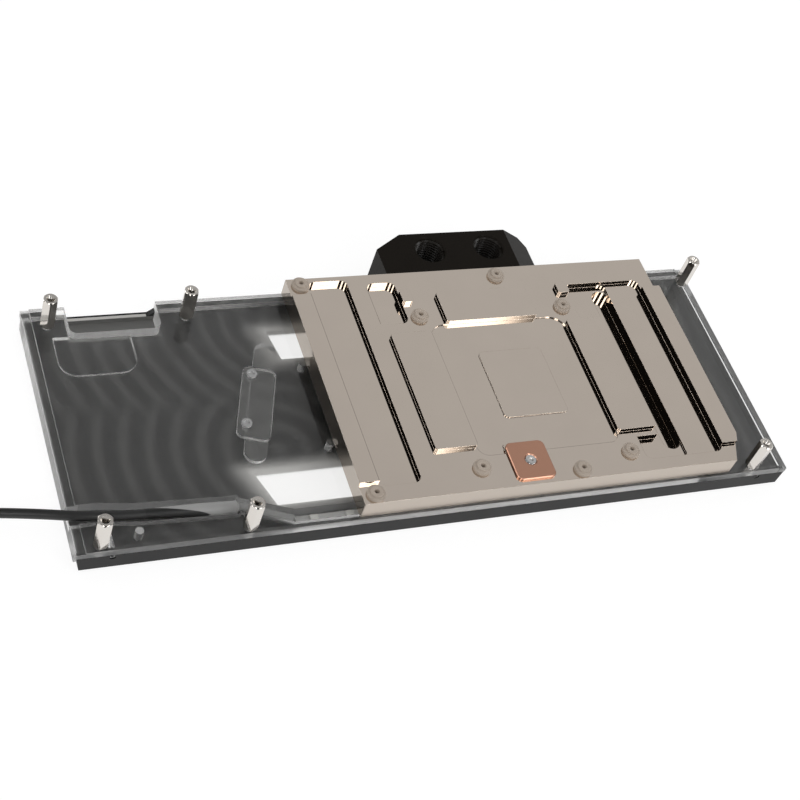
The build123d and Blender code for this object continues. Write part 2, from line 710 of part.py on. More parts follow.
# Hexagonal standoffs with a threaded stud below and a threaded hole above
with BuildPart() as standoffs:
    with BuildSketch(level(board_top)):
        with Locations(*standoff_places):
            RegularPolygon(standoff_flats / 2, 6, major_radius=False, rotation=standoff_turn)
    extrude(amount=standoff_height)
    ends = standoffs.faces().filter_by(Axis.Z)
    chamfer(ends.edges(), standoff_chamfer)
    with BuildSketch(level(board_top)):
        with Locations(*standoff_places):
            Circle(screw_diameter / 2)
    extrude(amount=-standoff_stud_length)
    with BuildSketch(level(board_top + standoff_height)):
        with Locations(*standoff_places):
            Circle(standoff_bore / 2)
    extrude(amount=-standoff_bore_depth, mode=Mode.SUBTRACT)
finish(standoffs, "standoffs")

# Stepped insulating washers
with BuildPart() as insulating_washers:
    with BuildSketch(level(plate_top)):
        with Locations(*washer_places):
            Circle(washer_diameter / 2)
    extrude(amount=washer_base)
    with BuildSketch(level(plate_top + washer_base)):
        with Locations(*washer_places):
            Circle(washer_collar / 2)
    extrude(amount=washer_height - washer_base)
    with BuildSketch(level(plate_top)):
        with Locations(*washer_places):
            Circle(washer_bore / 2)
    extrude(amount=washer_height, mode=Mode.SUBTRACT)
    tops = insulating_washers.faces().filter_by(Axis.Z).group_by(Axis.Z)[-1]
    chamfer(tops.edges().group_by(SortBy.RADIUS)[-1], washer_chamfer)
finish(insulating_washers, "insulating_washers")

# Copper pad and its countersunk screw
copper_centre = ((copper_pad[0] + copper_pad[1]) / 2, (copper_pad[2] + copper_pad[3]) / 2)
with BuildPart() as copper_block:
    with BuildSketch(level(plate_top)):
        area(copper_pad, copper_corner)
    extrude(amount=copper_thickness)
    chamfer(copper_block.faces().sort_by(Axis.Z)[-1].edges(), copper_edge)
    with BuildSketch(level(plate_top + copper_thickness)):
        with Locations(copper_centre):
            Circle(pad_screw_head / 2 + screw_clearance)
    extrude(amount=-copper_thickness, taper=degrees(
        atan2((pad_screw_head - bar_screw_diameter) / 2, pad_screw_head_height)), mode=Mode.SUBTRACT)
finish(copper_block, "copper_pad")

with BuildPart() as copper_pad_screw:
    with BuildSketch(level(plate_top + copper_thickness)):
        with Locations(copper_centre):
            Circle(pad_screw_head / 2)
    extrude(amount=-copper_thickness, taper=degrees(
        atan2((pad_screw_head - bar_screw_diameter) / 2, pad_screw_head_height)))
    with BuildSketch(level(plate_top + copper_thickness / 2)):
        with Locations(copper_centre):
            Circle(bar_screw_diameter / 2)
    extrude(amount=-pad_screw_length)
    with BuildSketch(level(plate_top + copper_thickness)):
        with Locations(copper_centre):
            RegularPolygon(hex_key / 2, 6, major_radius=False)
    extrude(amount=-copper_thickness / 2, mode=Mode.SUBTRACT)
finish(copper_pad_screw, "copper_pad_screw")

# Clear light bar and its two screws
bar_place = Location(bar_centre + (0,), (0, 0, bar_lean))
with BuildPart() as light_bar:
    with BuildSketch(level(board_top + stack_clearance - bar_thickness)):
        with Locations(bar_place):
            RectangleRounded(bar_width, bar_length, bar_corner)
            with Locations(*bar_screw_offsets):
                Circle(bar_screw_diameter / 2 + screw_clearance, mode=Mode.SUBTRACT)
    extrude(amount=bar_thickness - stack_clearance)
    with BuildSketch(level(board_top)):
        with Locations(bar_place):
            with Locations(*bar_screw_offsets):
                Circle(bar_screw_head / 2 + screw_clearance)
    extrude(amount=-bar_screw_head_height, mode=Mode.SUBTRACT)
finish(light_bar, "light_bar")

with BuildPart() as light_bar_screws:
    with BuildSketch(level(board_top - bar_screw_head_height)):
        with Locations(bar_place):
            with Locations(*bar_screw_offsets):
                Circle(bar_screw_head / 2)
    extrude(amount=bar_screw_head_height)
    with BuildSketch(level(board_top - bar_screw_head_height)):
        with Locations(bar_place):
            with Locations(*bar_screw_offsets):
                Circle(bar_screw_diameter / 2)
    extrude(amount=-bar_screw_length)
    with BuildSketch(level(board_top)):
        with Locations(bar_place):
            with Locations(*bar_screw_offsets):
                RegularPolygon(hex_key / 2, 6, major_radius=False)
    extrude(amount=-bar_screw_head_height / 2, mode=Mode.SUBTRACT)
finish(light_bar_screws, "light_bar_screws")

# Light strip with its lamps at the bottom of the groove
with BuildPart() as light_strip:
    with BuildSketch(level(board_top + stack_clearance - channel_depth)):
        area((strip_start, strip_end, strip_line - strip_width / 2, strip_line + strip_width / 2))
    extrude(amount=strip_thickness)
finish(light_strip, "light_strip")

with BuildPart() as lamps:
    lamp_pitch = (strip_end - strip_start) / lamp_count
    with BuildSketch(level(board_top + stack_clearance - channel_depth + strip_thickness)):
        with Locations(((strip_start + strip_end) / 2, strip_line)):
            with GridLocations(lamp_pitch, 0, lamp_count, 1):
                Rectangle(lamp_size, lamp_size)
    extrude(amount=lamp_height)
finish(lamps, "lamps")

# Tapered sleeve over the end of the cable
cable_height = board_top - cable_depth
cable_radius = cable_diameter / 2
sleeve_line = point(sleeve_end, cable_height) - point(sleeve_start, cable_height)
sleeve_length = sleeve_line.length
sleeve_plane = Plane(origin=point(sleeve_start, cable_height), x_dir=(0, 0, 1), z_dir=sleeve_line)
with BuildPart() as cable_sleeve:
    with BuildSketch(Plane(origin=sleeve_plane.origin, x_dir=sleeve_plane.x_dir, z_dir=sleeve_plane.y_dir)):
        with BuildLine():
            Polyline((0, 0), (cable_radius, 0), (sleeve_diameter / 2, -sleeve_taper),
                     (sleeve_diameter / 2, sleeve_nose - sleeve_length),
                     (lead_diameter / 2, -sleeve_length), (0, -sleeve_length), close=True)
        make_face()
    revolve(axis=Axis(sleeve_plane.origin, sleeve_line))
finish(cable_sleeve, "cable_sleeve")

# Lead from the sleeve down to the strip
lead_start_point = point(sleeve_end, cable_height)
lead_end_point = point(lead_end, board_top - channel_depth + strip_thickness + lead_diameter / 2)
with BuildPart() as strip_lead:
    with BuildLine() as lead_line:
        Polyline(lead_start_point, lead_start_point + sleeve_line.normalized() * lead_straight,
                 lead_end_point)
    with BuildSketch(Plane(origin=lead_start_point, z_dir=sleeve_line)):
        Circle(lead_diameter / 2)
    sweep(path=lead_line.wires()[0], transition=Transition.RIGHT)
finish(strip_lead, "strip_lead")

# Cable: straight runs joined by tangent arcs, out of the channel and down to the floor
floor_height = cable_radius + coil_lift
route = ([point(sleeve_start, cable_height)]
         + [point(place, cable_height - drop) for place, drop in cable_bends]
         + [point(place, floor_height) for place in cable_on_floor])


def bend_radii(points):
    # The largest arc that both runs beside each point leave room for
    radii = []
    for before, corner, after in zip(points, points[1:], points[2:]):
        turn = (corner - before).get_angle(after - corner)
        shorter = min((corner - before).length, (after - corner).length)
        radii.append(arc_share * shorter / tan(radians(turn / 2)))
    return radii


def cable_piece(points):
    # A round cable along its route
    radii = bend_radii(points)
    print("bend radii", [round(r, 1) for r in radii])
    with BuildPart() as piece:
        with BuildLine() as line:
            FilletPolyline(*points, radius=radii)
        with BuildSketch(Plane(origin=points[0], z_dir=points[1] - points[0])):
            Circle(cable_radius)
        sweep(path=line.wires()[0])
    print("length", round(line.wires()[0].length, 2), "volume", round(piece.part.volume, 2),
          "section times length", round(line.wires()[0].length * pi * cable_radius ** 2, 2))
    return piece


led_cable = cable_piece(route)
finish(led_cable, "led_cable")

# Coil of the spare length, one closed ring with a stub where the cable goes in and out
ring_width = coil_turns_wide * cable_diameter + 2 * coil_slack
ring_height = coil_turns_high * cable_diameter + 2 * coil_slack
entry_radius = (coil_diameter + ring_width - cable_diameter) / 2 - coil_slack
coil_centre = route[-1] + Vector(-stub_length, -entry_radius, coil_lift - floor_height)
ring_middle = ring_height / 2 - coil_slack
coil_ends = (route[-1], coil_centre + Vector(stub_length, -entry_radius, cable_radius))
with BuildPart() as led_cable_coil:
    with BuildSketch(Plane(origin=coil_centre, z_dir=(0, -1, 0), x_dir=(1, 0, 0))):
        with Locations((coil_diameter / 2, ring_middle)):
            RectangleRounded(ring_width, ring_height, coil_corner)
    revolve(axis=Axis(coil_centre, (0, 0, 1)))
    for end in coil_ends:
        with BuildSketch(Plane(origin=end, z_dir=(-1, 0, 0))):
            Circle(cable_radius)
        extrude(amount=stub_length)
finish(led_cable_coil, "led_cable_coil")

# Short tail to the plug
tail_start = coil_ends[1]
tail = [tail_start, tail_start + Vector(tail_bend[0], tail_bend[1], 0),
        tail_start + Vector(tail_end[0], tail_end[1], 0)]
led_cable_tail = cable_piece(tail)
finish(led_cable_tail, "led_cable_tail")

# Three-pole plug at the end of the cable
plug_plane = Plane(origin=(tail[2].X, tail[2].Y, plug_height / 2), z_dir=tail[2] - tail[1], x_dir=(0, 0, 1))
with BuildPart() as led_plug:
    with BuildSketch(plug_plane):
        Rectangle(plug_height, plug_width)
    extrude(amount=plug_length)
    chamfer(led_plug.edges().filter_by(Axis(plug_plane.origin, plug_plane.z_dir)), plug_chamfer)
    with BuildSketch(plug_plane.offset(plug_length)):
        with GridLocations(0, plug_pole_pitch, 1, 3):
            Rectangle(plug_socket, plug_socket)
    extrude(amount=-plug_length / 2, mode=Mode.SUBTRACT)
finish(led_plug, "led_plug")

# Two ties round the coil
with BuildPart() as cable_ties:
    with BuildSketch(Plane(origin=coil_centre + Vector(0, tie_width / 2, 0),
                           z_dir=(0, -1, 0), x_dir=(1, 0, 0))):
        with Locations((-coil_diameter / 2, ring_middle), (coil_diameter / 2, ring_middle)):
            RectangleRounded(ring_width + 2 * tie_thickness, ring_height + 2 * tie_thickness,
                             coil_corner + tie_thickness)
            RectangleRounded(ring_width + 2 * tie_clearance, ring_height + 2 * tie_clearance,
                             coil_corner, mode=Mode.SUBTRACT)
    extrude(amount=tie_width)
finish(cable_ties, "cable_ties")
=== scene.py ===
from math import cos, pi, radians, sin

import bmesh
import bpy
from mathutils import Matrix, Quaternion, Vector


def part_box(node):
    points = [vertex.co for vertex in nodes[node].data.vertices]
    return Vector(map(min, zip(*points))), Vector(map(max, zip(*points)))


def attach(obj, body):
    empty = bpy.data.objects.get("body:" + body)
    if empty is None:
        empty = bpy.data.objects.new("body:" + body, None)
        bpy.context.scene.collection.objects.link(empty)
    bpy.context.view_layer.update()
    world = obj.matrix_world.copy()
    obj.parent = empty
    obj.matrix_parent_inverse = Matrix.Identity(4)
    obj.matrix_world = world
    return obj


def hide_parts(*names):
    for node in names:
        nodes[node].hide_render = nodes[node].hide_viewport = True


# Blender works in metres. Sizes below are real ones, in millimetres times mm.
mm = 0.001

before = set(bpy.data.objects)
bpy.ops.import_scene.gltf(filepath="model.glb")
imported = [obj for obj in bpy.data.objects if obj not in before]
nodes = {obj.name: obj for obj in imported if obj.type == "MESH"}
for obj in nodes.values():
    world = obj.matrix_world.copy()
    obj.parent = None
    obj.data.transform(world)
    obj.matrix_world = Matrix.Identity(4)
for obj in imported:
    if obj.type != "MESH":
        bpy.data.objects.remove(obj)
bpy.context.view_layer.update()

# Corners of the clear board, the copper pad, the cold plate and the port block, whose top is level with the plate's
board_low, board_high = (Vector(corner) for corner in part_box("acrylic_body"))
pad_low, pad_high = (Vector(corner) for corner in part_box("copper_pad"))
plate_low = Vector(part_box("cold_plate")[0])
port_high = Vector(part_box("port_block")[1])
board_top = board_high.z
plate_top = port_high.z

# Camera, found from the board's corners in the photograph
camera_place = Vector((-254.3, -351.7, 476.6)) * mm
camera_aim = Vector((-9.74, -13.63, 11.5)) * mm
camera_roll = radians(23.0)
camera_lens = 72.15

# Cable
cable_diameter = 3.7 * mm
cable_radius = cable_diameter / 2
cable_depth = 1.9 * mm
coil_lift = 0.9 * mm
coil_diameter = 41.0 * mm
coil_turns = 2.5
stub_length = 14.0 * mm
coil_points_per_turn = 16

# Clear board, in zones: depth of the polished skin, depth of the sawn near side, near side of the notch, the
# right end with its step, both tinted grey as painted shade, and where the inner walls take painted shade
polished_skin = 0.12 * mm
sawn_near_side = 0.3
notch_near_side = 96.5
right_end_width = 3.6 * mm
right_step_width = 3.0 * mm
painted_shade_walls_start = 4.5 * mm
painted_shade_walls_end = 6.0 * mm

# Front cover's windows, as left end, slant of that end, near and far edge on the board, and the painted light round
# them
windows = ((76.8, -5.5, 13.4, 29.2), (96.8, -2.6, 80.3, 95.2))
painted_window_light_width = 13.0 * mm
painted_window_light_end = 40.0 * mm

# The cutter's two sets of arcs on the front cover, as centre on the board and pitch, and the band between them
cover_arcs = ((84.0, 38.0, 9.5 * mm), (104.0, 100.0, 8.5 * mm))
cover_arcs_blend = (52.0, 74.0)
cover_arcs_wobble = 2.5 * mm

# Painted light on the front cover, as low corner, high corner and colour: the notch's floor painted lighter, and a
# pale painted highlight along its lip
notch_painted_light = (((16.6, 96.8, 3.1 * mm), (52.0, 107.9, 5.45 * mm), (0.15, 0.15, 0.145)),
               ((12.0, 107.7, 5.4 * mm), (49.0, 109.1, 5.6 * mm), (0.55, 0.54, 0.52)))

# Where the grey sleeve turns black along its near side, as start on the board and slope
sleeve_line_start = (27.0, 16.1)
sleeve_line_slope = -0.232

# Standoffs
standoff_height = 14.4 * mm
standoff_flats = 5.2 * mm
standoff_bore = 2.5 * mm
standoff_bore_depth = 8.0 * mm
standoff_stud = 3.0 * mm
standoff_stud_length = 3.0 * mm
standoff_turn = radians(15.0)
standoff_places = ((8.8, 3.3), (62.6, 3.3), (8.8, 102.2), (62.6, 102.2), (277.0, 3.3), (289.6, 102.2))
small_thread_pitch = 0.5 * mm

# Studio: the sky as metal sees it, the even sky for the rest, the floor's own light and the softboxes
dark_sky = 0.005
reflector_towards = (0.50, 0.60, 0.62)
reflector_level = 0.55
strip_count = 6.0
strip_turn = radians(100)
strip_level = 3.6
low_glow_height = 0.44
low_glow_front = 0.42
low_glow_behind = 0.5
back_glow_level = 0.45
overhead_level = 0.35
soft_sky = 0.5
floor_reach = 4.0
floor_glow = 1.12
softbox_size = (0.5, 0.4)
far_light = (-0.90, 0.65, 0.47)
far_power = 1.1
near_light = (0.47, -0.90, 0.65)
near_power = 1.6

# Washers
washer_radius = 3.6 * mm
washer_collar_radius = 2.6 * mm
washer_base = 1.3 * mm
washer_height = 2.2 * mm
washer_hole = 0.9 * mm
washer_places = ((154.4, 10.8), (154.4, 86.1), (219.4, 10.8), (219.4, 86.1),
                 (109.2, 4.8), (109.2, 106.3), (195.5, 5.1), (195.5, 105.1))

# Painted shade lines at the edges of the plate's pockets: x from the plate's left side, and y of both ends on the
# board
painted_shade_lines = ((7.8, 9.5, 100.8), (32.8, 84.0, 103.0))
painted_shade_line_half = 0.11
painted_shade_line_heights = (17.0 * mm, 23.0 * mm)

# The core's shallow field, as low and high corner in the same measures, and how far its painted shade outline shows
core_field = ((52.0, 16.3), (113.7, 81.5))
core_field_radius = 4.5 * mm
outline_half = 0.14 * mm
outline_reach = (111.0, 77.0)
outline_floor = 18.9 * mm
plate_skin = 0.4 * mm

# Screw of the copper pad
pad_screw_radius = 2.25 * mm

# Ports
port_places = ((171.4, 121.8), (198.6, 121.8))
port_radius = 6.5 * mm
port_thread_inner = 5.75 * mm
port_thread_pitch = 1.337 * mm
port_thread_turns = 9
port_thread_start = 1.2 * mm
port_thread_root = 0.42
port_thread_crest = 0.06


def on_board(x, y, z):
    # A place measured in millimetres from the board's near left corner, at a height in metres
    return Vector((board_low.x + x * mm, board_low.y + y * mm, z))


def on_plate(x, y, z=0.0):
    # The same with x measured from the plate's left side
    return Vector((plate_low.x + x * mm, board_low.y + y * mm, z))


def add_object(name, mesh, material):
    # A new piece that rides on the block and takes the given material
    piece = bpy.data.objects.new(name, mesh)
    bpy.context.collection.objects.link(piece)
    mesh.materials.append(material)
    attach(piece, "root")
    return piece


def smooth_by_angle(mesh, angle=radians(32)):
    # Smooth faces with sharp edges where the surface turns by more than the angle
    shape = bmesh.new()
    shape.from_mesh(mesh)
    for face in shape.faces:
        face.smooth = True
    for edge in shape.edges:
        edge.smooth = len(edge.link_faces) == 2 and edge.calc_face_angle(0) < angle
    shape.to_mesh(mesh)
    shape.free()


def lathe(profile, segments=64):
    # A closed turned form from (radius, height) points, bottom to top
    shape = bmesh.new()
    rings = []
    for radius, height in profile:
        if radius < 1e-6:
            rings.append([shape.verts.new((0, 0, height))])
        else:
            rings.append([shape.verts.new((radius * cos(2 * pi * n / segments),
                                           radius * sin(2 * pi * n / segments), height))
                          for n in range(segments)])
    for lower, upper in zip(rings, rings[1:]):
        for n in range(segments):
            m = (n + 1) % segments
            if len(lower) == 1:
                shape.faces.new((lower[0], upper[m], upper[n]))
            elif len(upper) == 1:
                shape.faces.new((lower[n], lower[m], upper[0]))
            else:
                shape.faces.new((lower[n], lower[m], upper[m], upper[n]))
    if len(rings[0]) > 1 and len(rings[-1]) > 1 and profile[0] == profile[-1]:
        bmesh.ops.remove_doubles(shape, verts=shape.verts, dist=1e-7)
    bmesh.ops.recalc_face_normals(shape, faces=shape.faces)
    mesh = bpy.data.meshes.new("turned")
    shape.to_mesh(mesh)
    shape.free()
    return mesh


def combine(first, second, operation):
    # The exact union, intersection or difference of two closed meshes
    body = bpy.data.objects.new("body", first)
    tool = bpy.data.objects.new("tool", second)
    bpy.context.collection.objects.link(body)
    bpy.context.collection.objects.link(tool)
    modifier = body.modifiers.new("cut", "BOOLEAN")
    modifier.object = tool
    modifier.operation = operation
    modifier.solver = "EXACT"
    view = bpy.context.evaluated_depsgraph_get()
    result = bpy.data.meshes.new_from_object(body.evaluated_get(view))
    bpy.data.objects.remove(body)
    bpy.data.objects.remove(tool)
    return result


def repeat(mesh, name, places, turn=0.0):
    # One mesh with a copy of the form at each place
    shape = bmesh.new()
    for place in places:
        copy = mesh.copy()
        copy.transform(Matrix.Translation(place) @ Matrix.Rotation(turn, 4, "Z"))
        shape.from_mesh(copy)
        bpy.data.meshes.remove(copy)
    result = bpy.data.meshes.new(name)
    shape.to_mesh(result)
    shape.free()
    return result


def threaded(radius, depth, low, high, pitch):
    # Profile points of a thread, as rings between a radius and that radius plus a depth
    count = int((high - low) / pitch)
    points = []
    for n in range(count):
        points.append((radius, low + n * pitch))
        points.append((radius + depth, low + (n + 0.5) * pitch))
    points.append((radius, low + count * pitch))
    return points


# Node groups and materials

def group_tree(name, inputs, outputs):
    # A shader node group with named number, colour or vector sockets
    tree = bpy.data.node_groups.new(name, "ShaderNodeTree")
    for label, kind, value in inputs:
        socket = tree.interface.new_socket(label, in_out="INPUT", socket_type="NodeSocket" + kind)
        socket.default_value = value
    for label, kind in outputs:
        tree.interface.new_socket(label, in_out="OUTPUT", socket_type="NodeSocket" + kind)
    return tree, tree.nodes.new("NodeGroupInput"), tree.nodes.new("NodeGroupOutput")


def add_node(tree, kind, settings=None, **inputs):
    # A node with settings, and inputs given as values or as the sockets that feed them
    made = tree.nodes.new("ShaderNode" + kind)
    for key, value in (settings or {}).items():
        setattr(made, key, value)
    for key, value in inputs.items():
        socket = made.inputs[int(key[1:])] if key[0] == "i" and key[1:].isdigit() else made.inputs[key]
        if isinstance(value, bpy.types.NodeSocket):
            tree.links.new(value, socket)
        else:
            socket.default_value = value
    return made


def maths(tree, operation, *values, clamp=False):
    # The result of one sum on numbers or sockets
    made = add_node(tree, "Math", {"operation": operation, "use_clamp": clamp},
                    **{"i%d" % n: value for n, value in enumerate(values)})
    return made.outputs[0]


def ramp(tree, value, start, end, smooth=False):
    # 0 at the start of a range and 1 at its end
    kind = {"interpolation_type": "SMOOTHSTEP"} if smooth else {}
    return add_node(tree, "MapRange", kind, i0=value, i1=start, i2=end).outputs[0]


def object_place(tree):
    # Where a point of the surface lies, as X, Y and Z
    return add_node(tree, "SeparateXYZ", Vector=add_node(tree, "TexCoord").outputs["Object"]).outputs


def face_rise(tree):
    # 1 on faces that look up, 0 on upright ones and -1 on those that look down
    return add_node(tree, "SeparateXYZ", Vector=add_node(tree, "NewGeometry").outputs["True Normal"]).outputs["Z"]


def upright_faces(tree):
    return maths(tree, "LESS_THAN", maths(tree, "ABSOLUTE", face_rise(tree)), 0.5)


def make_fine_grain():
    # Small even grain: a height for bump and a spread for roughness or colour
    tree, given, result = group_tree("fine_grain", [("Scale", "Float", 2000.0), ("Stretch", "Vector", (1, 1, 1))],
                                     [("Height", "Float"), ("Clouds", "Float")])
    place = add_node(tree, "TexCoord").outputs["Object"]
    pulled = add_node(tree, "VectorMath", {"operation": "MULTIPLY"}, i0=place, i1=given.outputs["Stretch"])
    grain = add_node(tree, "TexNoise", Vector=pulled.outputs[0], Scale=given.outputs["Scale"], Detail=3.0)
    clouds = add_node(tree, "TexNoise", Vector=place, Scale=60.0, Detail=4.0)
    tree.links.new(grain.outputs["Fac"], result.inputs["Height"])
    tree.links.new(clouds.outputs["Fac"], result.inputs["Clouds"])
    return tree


def make_cutter_arcs():
    # Soft concentric arcs that a large cutter leaves round a centre
    tree, given, result = group_tree("cutter_arcs", [("Centre", "Vector", (0, 0, 0)), ("Pitch", "Float", 0.008),
                                                     ("Wobble", "Float", 0.002)], [("Arcs", "Float")])
    place = add_node(tree, "TexCoord").outputs["Object"]
    blur = add_node(tree, "TexNoise", Vector=place, Scale=25.0, Detail=1.0)
    offset = add_node(tree, "VectorMath", {"operation": "SUBTRACT"}, i0=place, i1=given.outputs["Centre"])
    flat = add_node(tree, "VectorMath", {"operation": "MULTIPLY"}, i0=offset.outputs[0], i1=(1, 1, 0))
    radius = add_node(tree, "VectorMath", {"operation": "LENGTH"}, i0=flat.outputs[0]).outputs["Value"]
    shifted = maths(tree, "MULTIPLY_ADD", blur.outputs["Fac"], given.outputs["Wobble"], radius)
    phase = maths(tree, "DIVIDE", shifted, given.outputs["Pitch"])
    wave = maths(tree, "SINE", maths(tree, "MULTIPLY", phase, 2 * pi))
    soft = maths(tree, "MULTIPLY_ADD", wave, 0.5, 0.5)
    tree.links.new(maths(tree, "POWER", soft, 2.0), result.inputs["Arcs"])
    return tree


def make_acrylic_zones():
    # Each is 1 in one zone: the polished top, all walls, the sawn sides with the notch, the right end, that end's
    # step, and the walls inside the board. The last three take painted shade.
    names = ("Top", "Wall", "Side", "End", "Step", "Inside")
    tree, _, result = group_tree("acrylic_zones", [], [(name, "Float") for name in names])
    place = object_place(tree)
    upright = upright_faces(tree)
    sides = maths(tree, "MAXIMUM", maths(tree, "LESS_THAN", place["Y"], on_board(0, sawn_near_side, 0).y),
                  maths(tree, "GREATER_THAN", place["Y"], on_board(0, notch_near_side, 0).y))
    end = maths(tree, "GREATER_THAN", place["X"], board_high.x - right_end_width)
    step = maths(tree, "MULTIPLY", upright, maths(tree, "LESS_THAN", place["X"], board_high.x - right_step_width))
    left = maths(tree, "MULTIPLY", maths(tree, "GREATER_THAN", place["X"], board_low.x + painted_shade_walls_start),
                 maths(tree, "LESS_THAN", place["X"], plate_low.x + painted_shade_walls_end))
    masks = (maths(tree, "GREATER_THAN", place["Z"], board_top - polished_skin), upright,
             maths(tree, "MULTIPLY", upright, sides), end, maths(tree, "MULTIPLY", end, step),
             maths(tree, "MULTIPLY", left, maths(tree, "SUBTRACT", upright, sides, clamp=True)))
    for name, mask in zip(names, masks):
        tree.links.new(mask, result.inputs[name])
    return tree


def make_plate_zones():
    # Wall: 1 on upright faces of the plate. Outside: 1 on its satin near side, which also takes painted shade. Left:
    # 1 on its left side, for painted shade.
    tree, _, result = group_tree("plate_zones", [], [("Wall", "Float"), ("Outside", "Float"), ("Left", "Float")])
    place = object_place(tree)
    upright = upright_faces(tree)
    outside = maths(tree, "LESS_THAN", place["Y"], plate_low.y + plate_skin)
    left = maths(tree, "LESS_THAN", place["X"], plate_low.x + plate_skin)
    tree.links.new(upright, result.inputs["Wall"])
    tree.links.new(maths(tree, "MULTIPLY", upright, outside), result.inputs["Outside"])
    tree.links.new(maths(tree, "MULTIPLY", upright, left), result.inputs["Left"])
    return tree


def make_fine_outline():
    # 1 along the near and left part of a thin rounded outline on the plate, 0 elsewhere: the mask for a painted shade
    # line
    tree, given, result = group_tree("painted_shade_outline", [("Low", "Vector", (0, 0, 0)), ("High", "Vector", (1, 1, 1)),
                                                      ("Radius", "Float", 0.005), ("Width", "Float", 0.0002)],
                                     [("Line", "Float")])
    parts = object_place(tree)
    low = add_node(tree, "SeparateXYZ", Vector=given.outputs["Low"]).outputs
    high = add_node(tree, "SeparateXYZ", Vector=given.outputs["High"]).outputs
    beyond = []
    for axis in ("X", "Y"):
        middle = maths(tree, "MULTIPLY", maths(tree, "ADD", low[axis], high[axis]), 0.5)
        half = maths(tree, "SUBTRACT", maths(tree, "SUBTRACT", high[axis], middle), given.outputs["Radius"])
        reach = maths(tree, "ABSOLUTE", maths(tree, "SUBTRACT", parts[axis], middle))
        beyond.append(maths(tree, "MAXIMUM", maths(tree, "SUBTRACT", reach, half), 0.0))
    across = maths(tree, "SQRT", maths(tree, "ADD", maths(tree, "MULTIPLY", beyond[0], beyond[0]),
                                       maths(tree, "MULTIPLY", beyond[1], beyond[1])))
    off = maths(tree, "ABSOLUTE", maths(tree, "SUBTRACT", across, given.outputs["Radius"]))
    thin = maths(tree, "LESS_THAN", off, given.outputs["Width"])
    near_left = maths(tree, "MULTIPLY", maths(tree, "LESS_THAN", parts["X"], on_plate(*outline_reach).x),
                      maths(tree, "LESS_THAN", parts["Y"], on_plate(*outline_reach).y))
    on_top = maths(tree, "GREATER_THAN", parts["Z"], outline_floor)
    tree.links.new(maths(tree, "MULTIPLY", thin, maths(tree, "MULTIPLY", near_left, on_top)), result.inputs["Line"])
    return tree


def make_soft_window():
    # 1 inside a window with one slanted end, fading to 0 over a distance outside it: the mask for painted light round
    # the cover's windows
    tree, given, result = group_tree("soft_window", [("Near", "Float", 0.0), ("Far", "Float", 1.0),
                                                     ("Left", "Float", 0.0), ("Slant", "Float", 0.0),
                                                     ("Fade", "Float", 0.01)], [("Glow", "Float")])
    place = object_place(tree)
    across = maths(tree, "SUBTRACT", place["Y"], given.outputs["Near"])
    end = maths(tree, "MULTIPLY_ADD", across, given.outputs["Slant"], given.outputs["Left"])
    left = maths(tree, "MAXIMUM", maths(tree, "SUBTRACT", end, place["X"]), 0.0)
    side = maths(tree, "MAXIMUM", maths(tree, "MULTIPLY", across, -1.0),
                 maths(tree, "MAXIMUM", maths(tree, "SUBTRACT", place["Y"], given.outputs["Far"]), 0.0))
    away = maths(tree, "SQRT", maths(tree, "ADD", maths(tree, "MULTIPLY", left, left),
                                     maths(tree, "MULTIPLY", maths(tree, "MULTIPLY", side, 3.0), side)))
    near = maths(tree, "SUBTRACT", 1.0, maths(tree, "DIVIDE", away, given.outputs["Fade"]), clamp=True)
    left_half = maths(tree, "LESS_THAN", place["X"], plate_low.x + painted_window_light_end)
    tree.links.new(maths(tree, "MULTIPLY", maths(tree, "POWER", near, 2.2), left_half), result.inputs["Glow"])
    return tree


def make_box_mask():
    # 1 inside a rectangle of the board, 0 outside
    tree, given, result = group_tree("box_mask", [("Low", "Vector", (0, 0, 0)), ("High", "Vector", (1, 1, 1))],
                                     [("Mask", "Float")])
    place = add_node(tree, "TexCoord").outputs["Object"]
    over = add_node(tree, "SeparateXYZ", Vector=add_node(tree, "VectorMath", {"operation": "SUBTRACT"}, i0=place,
                                                         i1=given.outputs["Low"]).outputs[0]).outputs
    under = add_node(tree, "SeparateXYZ", Vector=add_node(tree, "VectorMath", {"operation": "SUBTRACT"},
                                                          i0=given.outputs["High"], i1=place).outputs[0]).outputs
    least = over["X"]
    for value in (over["Y"], over["Z"], under["X"], under["Y"], under["Z"]):
        least = maths(tree, "MINIMUM", least, value)
    tree.links.new(maths(tree, "GREATER_THAN", least, 0.0), result.inputs["Mask"])
    return tree


fine_grain = make_fine_grain()
cutter_arcs = make_cutter_arcs()
acrylic_zones = make_acrylic_zones()
plate_zones = make_plate_zones()
painted_shade_outline = make_fine_outline()
soft_window = make_soft_window()
box_mask = make_box_mask()


def use_group(tree, group, **inputs):
    # A group placed in a material, with its inputs given as values or sockets
    made = tree.nodes.new("ShaderNodeGroup")
    made.node_tree = group
    for key, value in inputs.items():
        if isinstance(value, bpy.types.NodeSocket):
            tree.links.new(value, made.inputs[key])
        else:
            made.inputs[key].default_value = value
    return made


def new_material(name, colour, roughness, metallic=0.0, **values):
    # A material with one principled shader
    material = bpy.data.materials.new(name)
    material.use_nodes = True
    tree = material.node_tree
    shader = tree.nodes["Principled BSDF"]
    shader.inputs["Base Color"].default_value = (*colour, 1.0)
    shader.inputs["Roughness"].default_value = roughness
    shader.inputs["Metallic"].default_value = metallic
    for key, value in values.items():
        shader.inputs[key.replace("_", " ")].default_value = value
    return material, tree, shader


def spread(tree, factor, low, high):
    # A number that follows a factor from 0 to 1
    return add_node(tree, "MapRange", i0=factor, i3=low, i4=high).outputs[0]


def blend_number(tree, factor, first, second):
    # A number between two, each given as a value or a socket
    return add_node(tree, "Mix", {"data_type": "FLOAT"}, i0=factor, i2=first, i3=second).outputs[0]


